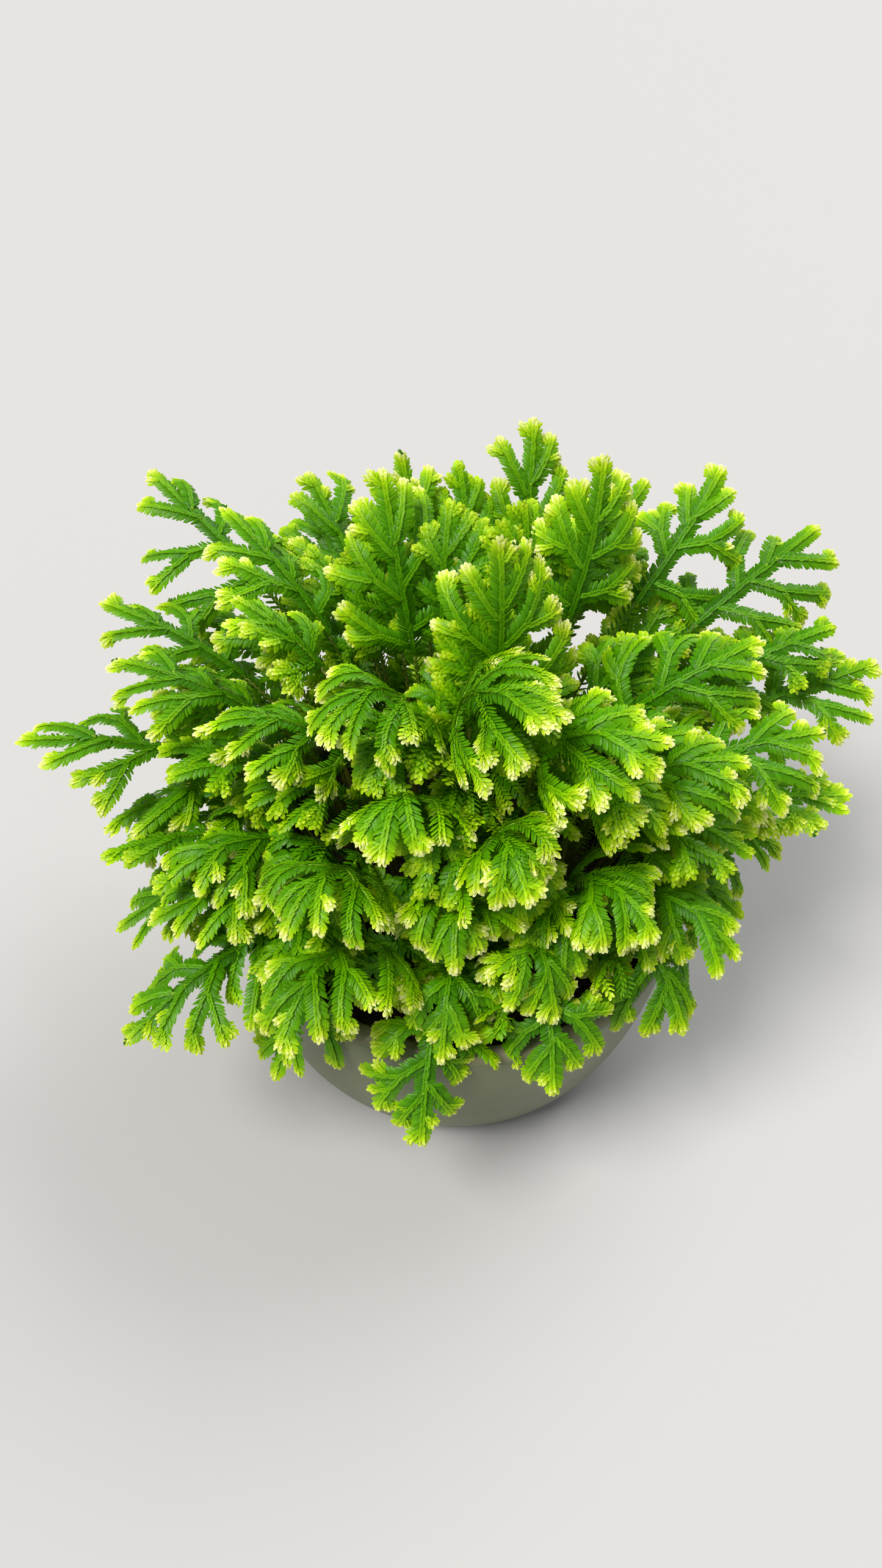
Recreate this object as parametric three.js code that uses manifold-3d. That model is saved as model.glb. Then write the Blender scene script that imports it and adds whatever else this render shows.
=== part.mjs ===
// A potted spikemoss: a low, wide mound of flat, forked sprays that arch out of a squat glazed pot.
// Millimetres, +Z up, the origin at the centre of the pot's foot, the front of the mound to -Y.

import * as THREE from 'three';
import { mergeVertices } from 'three/addons/utils/BufferGeometryUtils.js';
import Module from 'manifold-3d';

const wasm = await Module();
wasm.setup();

// The pot: a squat cup with a rounded side and a thick rolled lip.
const POT_RADIUS = 60;
const POT_HEIGHT = 60;
const FOOT_RADIUS = 46;
const WALL = 5.5;
const FLOOR = 6;
const POT_SIDES = 32;

// The soil fills the pot to a little under the lip.
const SOIL_TOP = 53;
const SEAT_GAP = 0.3;
const STEM_DEPTH = 5;
const HOLE_GAP = 0.5;

// The sprays: half widths of the stem and rib, and half thicknesses of the rib and leafy edge.
const STEM_HALF = 0.9;
const RIB_HALF = 0.85;
const RIB_THICK = 0.6;
const EDGE_THICK = 0.35;
const STEM_STOPS = [0, 0.18, 0.44, 0.72];

// A leafy branchlet's half width as a share of its spray's, and how deep a leaflet's notch is.
const LEAF_SHARE = 0.142;
const NOTCH = 0.7;

// The radius a blade droops with to both sides of its rib.
const DROOP_RADIUS = 46;

// The three branches to each side of a rib, from the lowest up: angle from the rib in degrees,
// length as a share of the blade's half width, and root as a share of the blade's length.
const SIDE_BRANCHES = [
  { angle: 68, share: 1.02, root: 0.07 },
  { angle: 48, share: 1.04, root: 0.31 },
  { angle: 34, share: 0.72, root: 0.54 },
];
const STAGGER = 0.08;
const TRUNK_SHARE = 0.4;
const FORK_OUT = 20;
const FORK_IN = 17;
const WIDE_SPRAY = 17.5;

// Each whorl of sprays: the radius its stems rise from, and the steepness they start at.
const WHORLS = {
  crown: { hole: 8, rise: 88 },
  upper: { hole: 17, rise: 85 },
  middle: { hole: 26, rise: 82 },
  lower: { hole: 35, rise: 76 },
  skirt: { hole: 43, rise: 70 },
};

// One row a spray: whorl, the bearing of its tip (degrees from +X toward +Y), reach and height of
// the tip, turn of the blade from that bearing, fall of the tip below level, blade length,
// blade half-width, roll about the rib.
const SPRAYS = [
  ['crown', 80, 16, 154, 20, -50, 38, 18, 0],
  ['crown', -58, 32, 147, 30, 0, 36, 17, 10],
  ['crown', -146, 40, 130, 12, 42, 36, 18, 10],

  ['upper', 62, 57, 153, 25, -48, 38, 18, 10],
  ['upper', 120, 50, 150, -15, -38, 44, 20, 0],
  ['upper', 20, 72, 124, 18, 0, 42, 20, 10],
  ['upper', -32, 46, 139, 30, 8, 38, 18, 10],
  ['upper', -174, 62, 114, -8, 30, 40, 18, 10],
  ['upper', -112, 48, 118, 15, 50, 38, 18, 10],
  ['upper', -74, 50, 112, 20, 50, 34, 17, 10],

  ['middle', 142, 82, 132, -5, -15, 42, 20, 10],
  ['middle', 108, 72, 138, 0, -38, 42, 18, 10],
  ['middle', 82, 82, 142, 8, -38, 44, 18, 10],
  ['middle', 52, 100, 134, 14, -18, 46, 20, 10],
  ['middle', -12, 62, 122, 25, 12, 40, 18, 10],
  ['middle', -45, 62, 95, 8, 45, 36, 18, 10],
  ['middle', -91, 54, 92, 6, 55, 34, 15, 10],
  ['middle', -125, 66, 102, 8, 50, 36, 18, 10],
  ['middle', -155, 77, 87, 4, 40, 38, 18, 0],
  ['middle', 171, 88, 113, -12, 10, 42, 19, 10],
  ['middle', 5, 84, 112, 20, 8, 42, 19, 10],

  ['lower', 138, 124, 118, -4, -8, 50, 22, 0],
  ['lower', 156, 108, 104, 2, -3, 44, 19, 0],
  ['lower', 120, 96, 120, 0, -20, 44, 20, 10],
  ['lower', 68, 98, 122, 15, -25, 46, 20, 10],
  ['lower', 40, 118, 120, 8, -5, 48, 21, 10],
  ['lower', 23, 116, 100, 5, -6, 46, 21, 10],
  ['lower', -3, 76, 91, -22, 30, 38, 18, 0],
  ['lower', -27, 76, 76, 0, 38, 38, 18, 10],
  ['lower', -67, 60, 76, 0, 54, 32, 15, -10],
  ['lower', -92, 63, 67, 0, 58, 32, 14, 0],
  ['lower', -119, 79, 80, 8, 44, 40, 19, 10],
  ['lower', -154, 82, 76, -10, 30, 38, 18, 10],
  ['lower', -180, 110, 98, -2, 8, 50, 21, 10],
  ['lower', -172, 90, 80, 20, 30, 38, 18, 10],

  ['skirt', 150, 96, 78, 0, 25, 42, 20, 10],
  ['skirt', 112, 90, 84, 0, 20, 42, 19, 10],
  ['skirt', 80, 90, 88, 0, 20, 42, 19, 10],
  ['skirt', 45, 96, 84, 0, 22, 42, 20, 10],
  ['skirt', 5, 86, 66, 0, 30, 38, 18, 10],
  ['skirt', -41, 74, 63, -20, 42, 34, 18, 0],
  ['skirt', -69, 69, 58, -12, 53, 32, 15, 10],
  ['skirt', -94, 75, 47, 8, 62, 38, 16, 0],
  ['skirt', -125, 74, 48, 8, 52, 34, 16, 10],
  ['skirt', -143, 97, 58, 0, 30, 42, 19, 10],
  ['skirt', -160, 90, 64, 0, 35, 38, 17, 10],
];

const rad = THREE.MathUtils.degToRad;

// A small seeded random generator, so that the plant always grows the same way.
function seeded(seed) {
  let state = seed >>> 0;
  return () => {
    state = (state + 0x6d2b79f5) >>> 0;
    let t = Math.imul(state ^ (state >>> 15), 1 | state);
    t = (t + Math.imul(t ^ (t >>> 7), 61 | t)) ^ t;
    return ((t ^ (t >>> 14)) >>> 0) / 4294967296;
  };
}

// The path of a stem and its rib, from under the soil to the tip of the spray.
function stemCurve([whorl, bearing, reach, height, turn, fall]) {
  const { hole, rise } = WHORLS[whorl];
  const aim = (compass, climb) => new THREE.Vector3(
    Math.cos(rad(compass)) * Math.cos(rad(climb)),
    Math.sin(rad(compass)) * Math.cos(rad(climb)),
    Math.sin(rad(climb)),
  );
  const foot = aim(bearing, 0).multiplyScalar(hole).setZ(SOIL_TOP - STEM_DEPTH);
  const tip = aim(bearing, 0).multiplyScalar(reach).setZ(height);
  const span = foot.distanceTo(tip);
  return new THREE.CubicBezierCurve3(
    foot,
    foot.clone().addScaledVector(aim(bearing, rise), Math.max(0.55 * span, 36)),
    tip.clone().addScaledVector(aim(bearing + turn, -fall), -Math.max(0.42 * span, 28)),
    tip,
  );
}

// The level direction across a blade, to the right of its heading.
function levelAcross([, bearing, , , turn]) {
  const heading = rad(bearing + turn);
  return new THREE.Vector3(Math.sin(heading), -Math.cos(heading), 0);
}

// The branches of one spray, in its own flat plane: u runs along the rib and w out from it.
// Side branches leave the rib alternately; the low ones fork into two blunt branchlets.
function fanBranches(length, half, random) {
  const jitter = (size) => size * (random() - 0.5);
  const forked = half > WIDE_SPRAY ? 2 : 1;
  const branches = [];
  for (const side of [-1, 1]) {
    const shift = side > 0 ? STAGGER : 0;
    SIDE_BRANCHES.forEach((branch, order) => {
      const angle = branch.angle + jitter(6);
      const reach = branch.share * half * (1 + jitter(0.12));
      const root = { u: (branch.root + shift) * length, w: 0 };
      const trunk = order < forked ? TRUNK_SHARE * reach : 0;
      const arm = reach - trunk;
      const pair = [[angle + FORK_OUT, arm], [angle - FORK_IN, arm]];
      const arms = trunk > 0 ? pair : [[angle, arm]];
      branches.push({ side, root, angle, trunk, arms, lift: jitter(2) });
    });
  }
  return branches;
}

// A spot a distance along a bearing in the spray's plane, and some way off it to the tip's side.
function spot(from, angle, along, off = 0) {
  const [c, s] = [Math.cos(rad(angle)), Math.sin(rad(angle))];
  return { u: from.u + along * c + off * s, w: from.w + along * s - off * c };
}

// The outline of one branch, from the rib round its branchlets and back to the rib.
// The edges carry a serration each, as the rows of leaflets end in, and the tips are blunt.
function branchOutline({ root, angle, trunk, arms, lift }, leaf) {
  const fork = spot(root, angle, trunk);
  const clear = (RIB_HALF + 0.9 + 0.85 * leaf * Math.cos(rad(angle))) / Math.sin(rad(angle));
  const points = [
    { u: root.u - 1.5, w: RIB_HALF, lift: 0, thick: RIB_THICK, rib: true },
    spot(root, angle, 2.6, -0.85 * leaf),
  ];
  arms.forEach(([bearing, arm], k) => {
    if (k === 0) {
      points.push(spot(fork, bearing, 0.42 * arm, -leaf - 0.3));
      points.push(spot(fork, bearing, 0.5 * arm, NOTCH - leaf));
    } else {
      points.push(spot(fork, (arms[0][0] + bearing) / 2, 0.42 * arm));
    }
    points.push(spot(fork, bearing, arm - (k === 0 ? 1 : 0.2), -leaf));
    points.push(spot(fork, bearing, arm - (k === 0 ? 0.2 : 1), leaf));
    if (k === arms.length - 1) {
      points.push(spot(fork, bearing, 0.66 * arm, leaf - NOTCH));
      points.push(spot(fork, bearing, 0.58 * arm, leaf + 0.2));
    }
  });
  if (trunk > 0) points.push(spot(root, angle, clear, 0.85 * leaf));
  points.push({ u: root.u + 1.5, w: RIB_HALF, lift: 0, thick: RIB_THICK, rib: true });
  return points.map((p) => ({ lift: lift * Math.min(p.w / 8, 1), thick: EDGE_THICK, ...p }));
}

// The outline of the whole spray as a ring of points, each with its half thickness and lift.
function sprayOutline(stemLength, length, half, random) {
  const branches = fanBranches(length, half, random);
  const leaf = LEAF_SHARE * half;
  const spine = (u, w, thick) => ({ u, w, thick, lift: 0, rib: true });
  const halfRing = (side) => {
    const own = branches.filter((branch) => branch.side === side);
    const last = own[2].root.u;
    const rest = length - last;
    return [
      ...STEM_STOPS.map((stop) => spine((stop - 1) * stemLength, STEM_HALF, STEM_HALF)),
      ...own.flatMap((branch) => branchOutline(branch, leaf)),
      spine(last + 0.45 * rest, RIB_HALF, RIB_THICK),
      spine(last + 0.64 * rest, leaf - 0.3, EDGE_THICK),
      spine(length - 1, leaf, EDGE_THICK),
    ].map((p) => ({ ...p, u: stemLength + p.u, w: side * p.w }));
  };
  const tip = spine(stemLength + length, 0, EDGE_THICK);
  return [...halfRing(1), tip, ...halfRing(-1).reverse()];
}

// Splits the outline into triangles: a ladder up the stem and rib, and each branch by itself.
function outlineFaces(ring) {
  const tip = (ring.length - 1) / 2;
  const chain = ring.map((p, i) => i).filter((i) => ring[i].rib);
  const right = chain.filter((i) => i <= tip);
  const left = chain.filter((i) => i >= tip).reverse();
  const faces = [];
  let [a, b] = [0, 0];
  while (right[a] !== tip && left[b] !== tip) {
    const [r, l] = [right[a + 1], left[b + 1]];
    const rightFirst = l === tip || (r !== tip && ring[r].u <= ring[l].u);
    faces.push(rightFirst ? [right[a], r, left[b]] : [right[a], l, left[b]]);
    if (rightFirst) a += 1;
    else b += 1;
  }
  chain.slice(1).forEach((to, k) => {
    const from = chain[k];
    if (to - from < 3) return;
    const outline = ring.slice(from, to + 1).map((p) => new THREE.Vector2(p.u, p.w));
    for (const face of THREE.ShapeUtils.triangulateShape(outline, [])) {
      faces.push(face.map((i) => from + i));
    }
  });
  return faces.map(([i, j, k]) => {
    const turn = (ring[j].u - ring[i].u) * (ring[k].w - ring[i].w)
      - (ring[j].w - ring[i].w) * (ring[k].u - ring[i].u);
    return turn > 0 ? [i, k, j] : [i, j, k];
  });
}

// Lays a flat outline on the arched spray: along the stem's path, drooping to both sides.
function sprayGeometry(row) {
  const [, bearing, reach, , , , blade, half, roll] = row;
  const random = seeded(1000 * reach + bearing + 180);
  const curve = stemCurve(row);
  const total = curve.getLength();
  const ring = sprayOutline(total - blade, blade, half, random);
  const across = levelAcross(row);
  const count = ring.length;
  const faces = outlineFaces(ring);
  const position = new Float32Array(count * 6);
  ring.forEach((p, i) => {
    const at = Math.min(Math.max(p.u / total, 0), 1);
    const forward = curve.getTangentAt(at);
    const middle = curve.getPointAt(at);
    const sideways = across.clone().addScaledVector(forward, -across.dot(forward)).normalize()
      .applyAxisAngle(forward, rad(roll));
    const normal = sideways.clone().cross(forward).normalize();
    const bend = p.w / DROOP_RADIUS;
    middle.addScaledVector(sideways, DROOP_RADIUS * Math.sin(bend));
    middle.addScaledVector(normal, p.lift - DROOP_RADIUS * (1 - Math.cos(bend)));
    const outward = normal.clone().multiplyScalar(Math.cos(bend))
      .addScaledVector(sideways, Math.sin(bend));
    const top = middle.clone().addScaledVector(outward, p.thick);
    const under = middle.clone().addScaledVector(outward, -p.thick);
    position.set(top.toArray(), i * 3);
    position.set(under.toArray(), (count + i) * 3);
  });
  const triangles = [];
  for (const [a, b, c] of faces) {
    triangles.push(a, b, c, count + a, count + c, count + b);
  }
  for (let i = 0; i < count; i += 1) {
    const j = (i + 1) % count;
    triangles.push(i, count + i, j, j, count + i, count + j);
  }
  const geometry = new THREE.BufferGeometry();
  geometry.setAttribute('position', new THREE.BufferAttribute(position, 3));
  geometry.setIndex(triangles);
  return geometry;
}

// A closed geometry as a solid for cuts, its faces turned outward.
function solidOf(geometry) {
  const bare = new THREE.BufferGeometry();
  bare.setAttribute('position', geometry.getAttribute('position').clone());
  bare.setIndex(geometry.getIndex());
  const merged = mergeVertices(bare, 1e-4);
  return new wasm.Manifold(new wasm.Mesh({
    numProp: 3,
    vertProperties: merged.getAttribute('position').array,
    triVerts: new Uint32Array(merged.getIndex().array),
  }));
}

// The solid left after the cuts, as a geometry again.
function geometryOf(solid) {
  const mesh = solid.getMesh();
  const geometry = new THREE.BufferGeometry();
  geometry.setAttribute('position', new THREE.BufferAttribute(mesh.vertProperties, 3));
  geometry.setIndex(new THREE.BufferAttribute(mesh.triVerts, 1));
  return geometry;
}

// A turned shape about +Z from an outline of [radius, height] pairs.
function turned(outline, sides) {
  const points = outline.map(([r, z]) => new THREE.Vector2(r, z));
  const geometry = new THREE.LatheGeometry(points, sides);
  geometry.deleteAttribute('normal');
  geometry.deleteAttribute('uv');
  geometry.rotateX(Math.PI / 2);
  return mergeVertices(geometry, 1e-4);
}

// The pot's side swells from the foot in a quarter ellipse; f is the share of the height.
const side = (f) => FOOT_RADIUS + (POT_RADIUS - FOOT_RADIUS) * Math.sqrt(1 - (1 - f) ** 2);
const POT_OUTLINE = [
  [0, 0],
  [FOOT_RADIUS - 2, 0],
  [side(0.02), 1.2],
  [side(0.18), 0.18 * POT_HEIGHT],
  [side(0.45), 0.45 * POT_HEIGHT],
  [side(0.8), 0.8 * POT_HEIGHT],
  [POT_RADIUS, POT_HEIGHT - 3],
  [POT_RADIUS - 0.9, POT_HEIGHT - 0.8],
  [POT_RADIUS - 2.8, POT_HEIGHT],
  [POT_RADIUS - 4.7, POT_HEIGHT - 0.8],
  [POT_RADIUS - WALL, POT_HEIGHT - 3],
  [side(0.45) - WALL, 0.45 * POT_HEIGHT],
  [side(0.2) - WALL - 1, FLOOR + 3],
  [FOOT_RADIUS - WALL - 3, FLOOR],
  [0, FLOOR],
];

// The soil's radius at a height between the pot's belly and its lip.
const soilRadius = (z) => {
  const low = 0.45 * POT_HEIGHT;
  const f = (z - low) / (POT_HEIGHT - 3 - low);
  return THREE.MathUtils.lerp(side(0.45) - WALL, POT_RADIUS - WALL, f) - SEAT_GAP;
};
const SOIL_OUTLINE = [
  [0, FLOOR + SEAT_GAP],
  [FOOT_RADIUS - WALL - 3.5, FLOOR + SEAT_GAP],
  [side(0.2) - WALL - 1.4, FLOOR + 3.2],
  [side(0.45) - WALL - SEAT_GAP, 0.45 * POT_HEIGHT],
  [soilRadius(SOIL_TOP - 1), SOIL_TOP - 1],
  [soilRadius(SOIL_TOP) - 4, SOIL_TOP + 0.4],
  [30, SOIL_TOP + 0.2],
  [0, SOIL_TOP + 1],
];

// The plain hole that the foot of a stem stands in.
function stemHole(row) {
  const curve = stemCurve(row);
  const blade = row[6];
  const total = curve.getLength();
  const low = curve.getPointAt(0);
  const high = curve.getPointAt((STEM_STOPS[1] * (total - blade)) / total);
  const forward = high.clone().sub(low).normalize();
  const across = levelAcross(row);
  across.addScaledVector(forward, -across.dot(forward)).normalize();
  const half = STEM_HALF + HOLE_GAP;
  const size = new THREE.Vector3(2 * half, 2 * half, low.distanceTo(high) + 3.5);
  const box = new THREE.BoxGeometry(size.x, size.y, size.z);
  box.deleteAttribute('normal');
  box.deleteAttribute('uv');
  const normal = across.clone().cross(forward).normalize();
  box.applyMatrix4(new THREE.Matrix4().makeBasis(across, normal.negate(), forward.clone()));
  const middle = low.clone().addScaledVector(forward, size.z / 2 - 0.5);
  box.translate(middle.x, middle.y, middle.z);
  return solidOf(box);
}

const plant = new THREE.Group();

function add(name, geometry, colour, roughness) {
  const material = new THREE.MeshStandardMaterial({ color: colour, roughness, metalness: 0 });
  const mesh = new THREE.Mesh(geometry, material);
  mesh.name = name;
  plant.add(mesh);
}

let soil = solidOf(turned(SOIL_OUTLINE, POT_SIDES));
for (const row of SPRAYS) soil = soil.subtract(stemHole(row));

add('pot', turned(POT_OUTLINE, POT_SIDES), 0x8a9270, 0.35);
add('soil', geometryOf(soil), 0x1e1712, 0.95);

const tally = {};
for (const row of SPRAYS) {
  const [whorl] = row;
  tally[whorl] = (tally[whorl] ?? 0) + 1;
  const name = `frond_${whorl}_${String(tally[whorl]).padStart(2, '0')}`;
  add(name, sprayGeometry(row), 0x5fae2c, 0.45);
}

export default plant;
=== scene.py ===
# %% [markdown]
# A frosty spikemoss in its pot. Spikemoss is a low relative of the ferns. Its shoots are flat
# straps: two rows of small leaves stand out to the sides like the teeth of a comb, two rows of
# tiny ones lie along the top of the stem, and the growing tips are pale cream. The frame gives the
# pot, the soil and one plain forked blade for each spray. This script lays real leaves along the
# same ribs, so each spray keeps its place and its form, and the finishes are worked out from what
# the real ones are made of.

# %% The frame
import math

import bpy
import numpy as np
from mathutils import Matrix, Vector


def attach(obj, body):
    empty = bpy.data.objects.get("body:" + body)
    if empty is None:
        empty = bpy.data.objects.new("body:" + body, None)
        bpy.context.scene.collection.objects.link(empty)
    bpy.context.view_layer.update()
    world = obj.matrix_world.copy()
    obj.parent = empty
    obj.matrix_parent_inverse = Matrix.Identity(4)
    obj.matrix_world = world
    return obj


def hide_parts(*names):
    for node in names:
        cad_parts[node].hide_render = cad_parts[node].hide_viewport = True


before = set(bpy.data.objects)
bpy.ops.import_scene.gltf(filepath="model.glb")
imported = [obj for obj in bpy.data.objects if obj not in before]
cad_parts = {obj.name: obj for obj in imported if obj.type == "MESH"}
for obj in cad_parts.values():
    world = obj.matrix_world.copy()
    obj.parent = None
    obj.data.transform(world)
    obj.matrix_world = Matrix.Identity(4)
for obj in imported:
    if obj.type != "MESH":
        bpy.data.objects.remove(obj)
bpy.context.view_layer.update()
MM = 0.001
print("nodes in the frame:", len(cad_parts))


# %% [markdown]
# Colours are picked as people see them on a screen, so one function turns them to the linear light
# that shaders use. Another adds a node to a material: what it is given is either a number or colour
# to set, or another node's output to link. Short ones build on it for what the finishes here share:
# a piece's own attribute, a pattern given by its size in millimetres, two colours blended, a value
# stretched to a new range, and a fine relief.

# %% Colours and nodes
def linear(hex_colour):
    """An sRGB hex colour as linear RGBA: each channel c becomes ((c + 0.055) / 1.055) ** 2.4."""
    channels = [int(hex_colour[i : i + 2], 16) / 255 for i in (1, 3, 5)]
    return [c / 12.92 if c <= 0.04045 else ((c + 0.055) / 1.055) ** 2.4 for c in channels] + [1]


def node(tree, kind, sockets=None, **settings):
    """Adds a node to a material, sets its properties, and sets or links its input sockets."""
    made = tree.nodes.new(kind)
    for name, value in settings.items():
        setattr(made, name, value)
    for name, value in (sockets or {}).items():
        if isinstance(value, bpy.types.NodeSocket):
            tree.links.new(value, made.inputs[name])
        else:
            made.inputs[name].default_value = value
    return made


def colour_ramp(tree, factor, stops):
    """A Color Ramp node whose stops are (place, sRGB hex colour) pairs."""
    ramp = node(tree, "ShaderNodeValToRGB", {"Fac": factor})
    elements = ramp.color_ramp.elements
    while len(elements) < len(stops):
        elements.new(0.5)
    for element, (place, colour) in zip(elements, stops):
        element.position = place
        element.color = linear(colour)
    return ramp.outputs["Color"]


def attribute(tree, name):
    """One of the piece's own attributes: a number at each of its points."""
    return node(tree, "ShaderNodeAttribute", attribute_name=name).outputs["Fac"]


def noise(tree, size_mm, detail):
    """A noise whose spots are size_mm across, fixed to the piece by its own coordinates."""
    place = node(tree, "ShaderNodeTexCoord").outputs["Object"]
    sockets = {"Vector": place, "Scale": 1 / (size_mm * MM), "Detail": detail}
    return node(tree, "ShaderNodeTexNoise", sockets).outputs["Fac"]


def blended(tree, factor, first, second):
    """The first colour where the factor is 0, going over to the second where it is 1."""
    sockets = {"Factor": factor, "A": first, "B": second}
    return node(tree, "ShaderNodeMix", sockets, data_type="RGBA").outputs["Result"]


def stretched(tree, value, low, high):
    """A value from 0 to 1, stretched to run from low to high."""
    sockets = {"Value": value, "To Min": low, "To Max": high}
    return node(tree, "ShaderNodeMapRange", sockets).outputs["Result"]


def relief(tree, height, depth_mm, strength):
    """Fine bumps in the way light falls on a surface, depth_mm from low to high."""
    sockets = {"Height": height, "Distance": depth_mm * MM, "Strength": strength}
    return node(tree, "ShaderNodeBump", sockets).outputs["Normal"]


def new_material(name):
    """An empty node material and its tree."""
    material = bpy.data.materials.new(name)
    material.use_nodes = True
    material.node_tree.nodes.clear()
    return material, material.node_tree


# %% [markdown]
# All the shapes are worked out as arrays: points in millimetres, and faces as rows of the numbers
# of their corners. Parts are joined by counting the corners of each on from the last, and a mesh is
# filled in one go. Each finished piece rides on the plant and stands for its plain node.

# %% Meshes
def joined(parts):
    """Several (points, faces) pairs as one, with the corners of each counted on from the last."""
    starts = np.cumsum([0] + [len(points) for points, rows in parts[:-1]])
    return (np.concatenate([points for points, rows in parts]),
            np.concatenate([rows + start for (points, rows), start in zip(parts, starts)]))


def mesh_piece(name, points, faces, materials, finish=None, **attributes):
    """One object from arrays: points in mm, faces as rows of corners, finish as a number a face."""
    mesh = bpy.data.meshes.new(name)
    corners = faces.shape[1]
    mesh.vertices.add(len(points))
    mesh.vertices.foreach_set("co", (points * MM).astype(np.float32).ravel())
    mesh.loops.add(faces.size)
    mesh.loops.foreach_set("vertex_index", faces.astype(np.int32).ravel())
    mesh.polygons.add(len(faces))
    mesh.polygons.foreach_set("loop_start", np.arange(len(faces), dtype=np.int32) * corners)
    mesh.update(calc_edges=True)
    mesh.polygons.foreach_set("use_smooth", np.ones(len(faces), bool))
    for material in materials:
        mesh.materials.append(material)
    if finish is not None:
        mesh.polygons.foreach_set("material_index", finish.astype(np.int32))
    for label, values in attributes.items():
        layer = mesh.attributes.new(label, "FLOAT", "POINT")
        layer.data.foreach_set("value", values.astype(np.float32))
    mesh.update()
    piece = bpy.data.objects.new(name, mesh)
    bpy.context.scene.collection.objects.link(piece)
    return piece


def wearing(piece, slot, *nodes):
    """Fixes a finished piece to the plant, in the place of the plain nodes that it stands for."""
    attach(piece, "root")
    if nodes:
        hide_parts(*nodes)
    return piece


# %% [markdown]
# The camera looks down at the mound from in front, at about 50 degrees, as someone who stands at a
# table does. Two broad, soft lights stand for the room: a window high in front to the left, and a
# weaker, wider one behind to the right, which keeps the far leaves from going grey. The world around
# is even and pale. The camera sees it brighter than the leaves do, so that the backdrop is light and
# the gaps in the mound stay dark. The floor is plain and pale too.

# %% Camera, light and floor
EYE = Vector((-6.6, -188, 316)) * MM
PITCH = math.radians(50.2)
ROLL = math.radians(4)
FOCAL_PIXELS = 1930
FRAME_HEIGHT = 2569
SENSOR = 36

ahead = Vector((0, math.cos(PITCH), -math.sin(PITCH)))
level = Vector((1, 0, 0))
above = level.cross(ahead)
right = level * math.cos(ROLL) + above * math.sin(ROLL)
up = above * math.cos(ROLL) - level * math.sin(ROLL)
camera = bpy.data.objects.new("camera", bpy.data.cameras.new("camera"))
camera.data.lens = FOCAL_PIXELS / FRAME_HEIGHT * SENSOR
camera.data.sensor_width = SENSOR
camera.data.clip_start = 0.01
camera.matrix_world = Matrix.Translation(EYE) @ Matrix((right, up, -ahead)).transposed().to_4x4()
bpy.context.scene.collection.objects.link(camera)
bpy.context.scene.camera = camera
print("camera lens:", round(camera.data.lens, 2), "mm")


def soft_light(name, source, spread, strength, colour):
    """Even light from one direction, as from a broad softbox that seems spread degrees across."""
    light = bpy.data.lights.new(name, "SUN")
    light.angle = math.radians(spread)
    light.energy = strength
    light.color = linear(colour)[:3]
    holder = bpy.data.objects.new(name, light)
    holder.matrix_world = (-Vector(source)).to_track_quat("-Z", "Y").to_matrix().to_4x4()
    bpy.context.scene.collection.objects.link(holder)


soft_light("window", (-1.1, -0.6, 2.1), 27, 3.2, "#fffaf2")
soft_light("room", (1.0, 1.5, 1.8), 36, 1.7, "#f6f6f0")

WORLD_LIGHT = 0.36
WORLD_SEEN = 0.9
world = bpy.data.worlds.new("studio")
world.use_nodes = True
backdrop = world.node_tree.nodes["Background"]
backdrop.inputs["Color"].default_value = linear("#f2f2f0")
by_camera = node(world.node_tree, "ShaderNodeLightPath").outputs["Is Camera Ray"]
world_strength = stretched(world.node_tree, by_camera, WORLD_LIGHT, WORLD_SEEN)
world.node_tree.links.new(world_strength, backdrop.inputs["Strength"])
bpy.context.scene.world = world
bpy.context.scene.view_settings.view_transform = "Standard"

FLOOR_REACH = 4000
FLOOR_DROP = 0.2
matt_board, tree = new_material("matt_board")
board = node(tree, "ShaderNodeBsdfPrincipled", {"Base Color": linear("#bdbdc0"), "Roughness": 0.85})
node(tree, "ShaderNodeOutputMaterial", {"Surface": board.outputs["BSDF"]})
floor_points = FLOOR_REACH * np.array([[-1, -1, 0], [1, -1, 0], [1, 1, 0], [-1, 1, 0]], float)
floor = mesh_piece("floor", floor_points - [0, 0, FLOOR_DROP], np.array([[0, 1, 2, 3]]), [matt_board])
print("lights:", len(bpy.data.lights))


# %% [markdown]
# The pot is slip-cast stoneware with a satin glaze: a thin layer of coloured glass, so it is smooth
# on top while its colour lies a little deeper and gathers unevenly, with a few specks where iron in
# the clay bleeds through. A warmer, paler band over the lip is a painted highlight on the rim's edge,
# the lining is painted a cooler blue-grey as a painted reflection of the sky, and the foot that
# stands on the table is wiped bare. The pot is a turned shape, so its outline is carried round the
# middle in one array.

# %% Glaze
GLAZE_CLOUD_MM = 16
SPECK_MM = 1.2
ORANGE_PEEL_MM = 3

satin_glaze, tree = new_material("satin_glazed_stoneware")
clouds = noise(tree, GLAZE_CLOUD_MM, 3.0)
body_colour = colour_ramp(tree, clouds, [(0.3, "#616a48"), (0.7, "#6b7450")])
specks = colour_ramp(tree, noise(tree, SPECK_MM, 1.0), [(0.66, "#000000"), (0.74, "#404040")])
specked = blended(tree, specks, body_colour, linear("#5c6049"))
# A warmer, paler band over the lip: a painted highlight on the rim's edge.
lip_painted_highlight = blended(tree, attribute(tree, "thin_glaze"), specked, linear("#8f8b74"))
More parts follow.
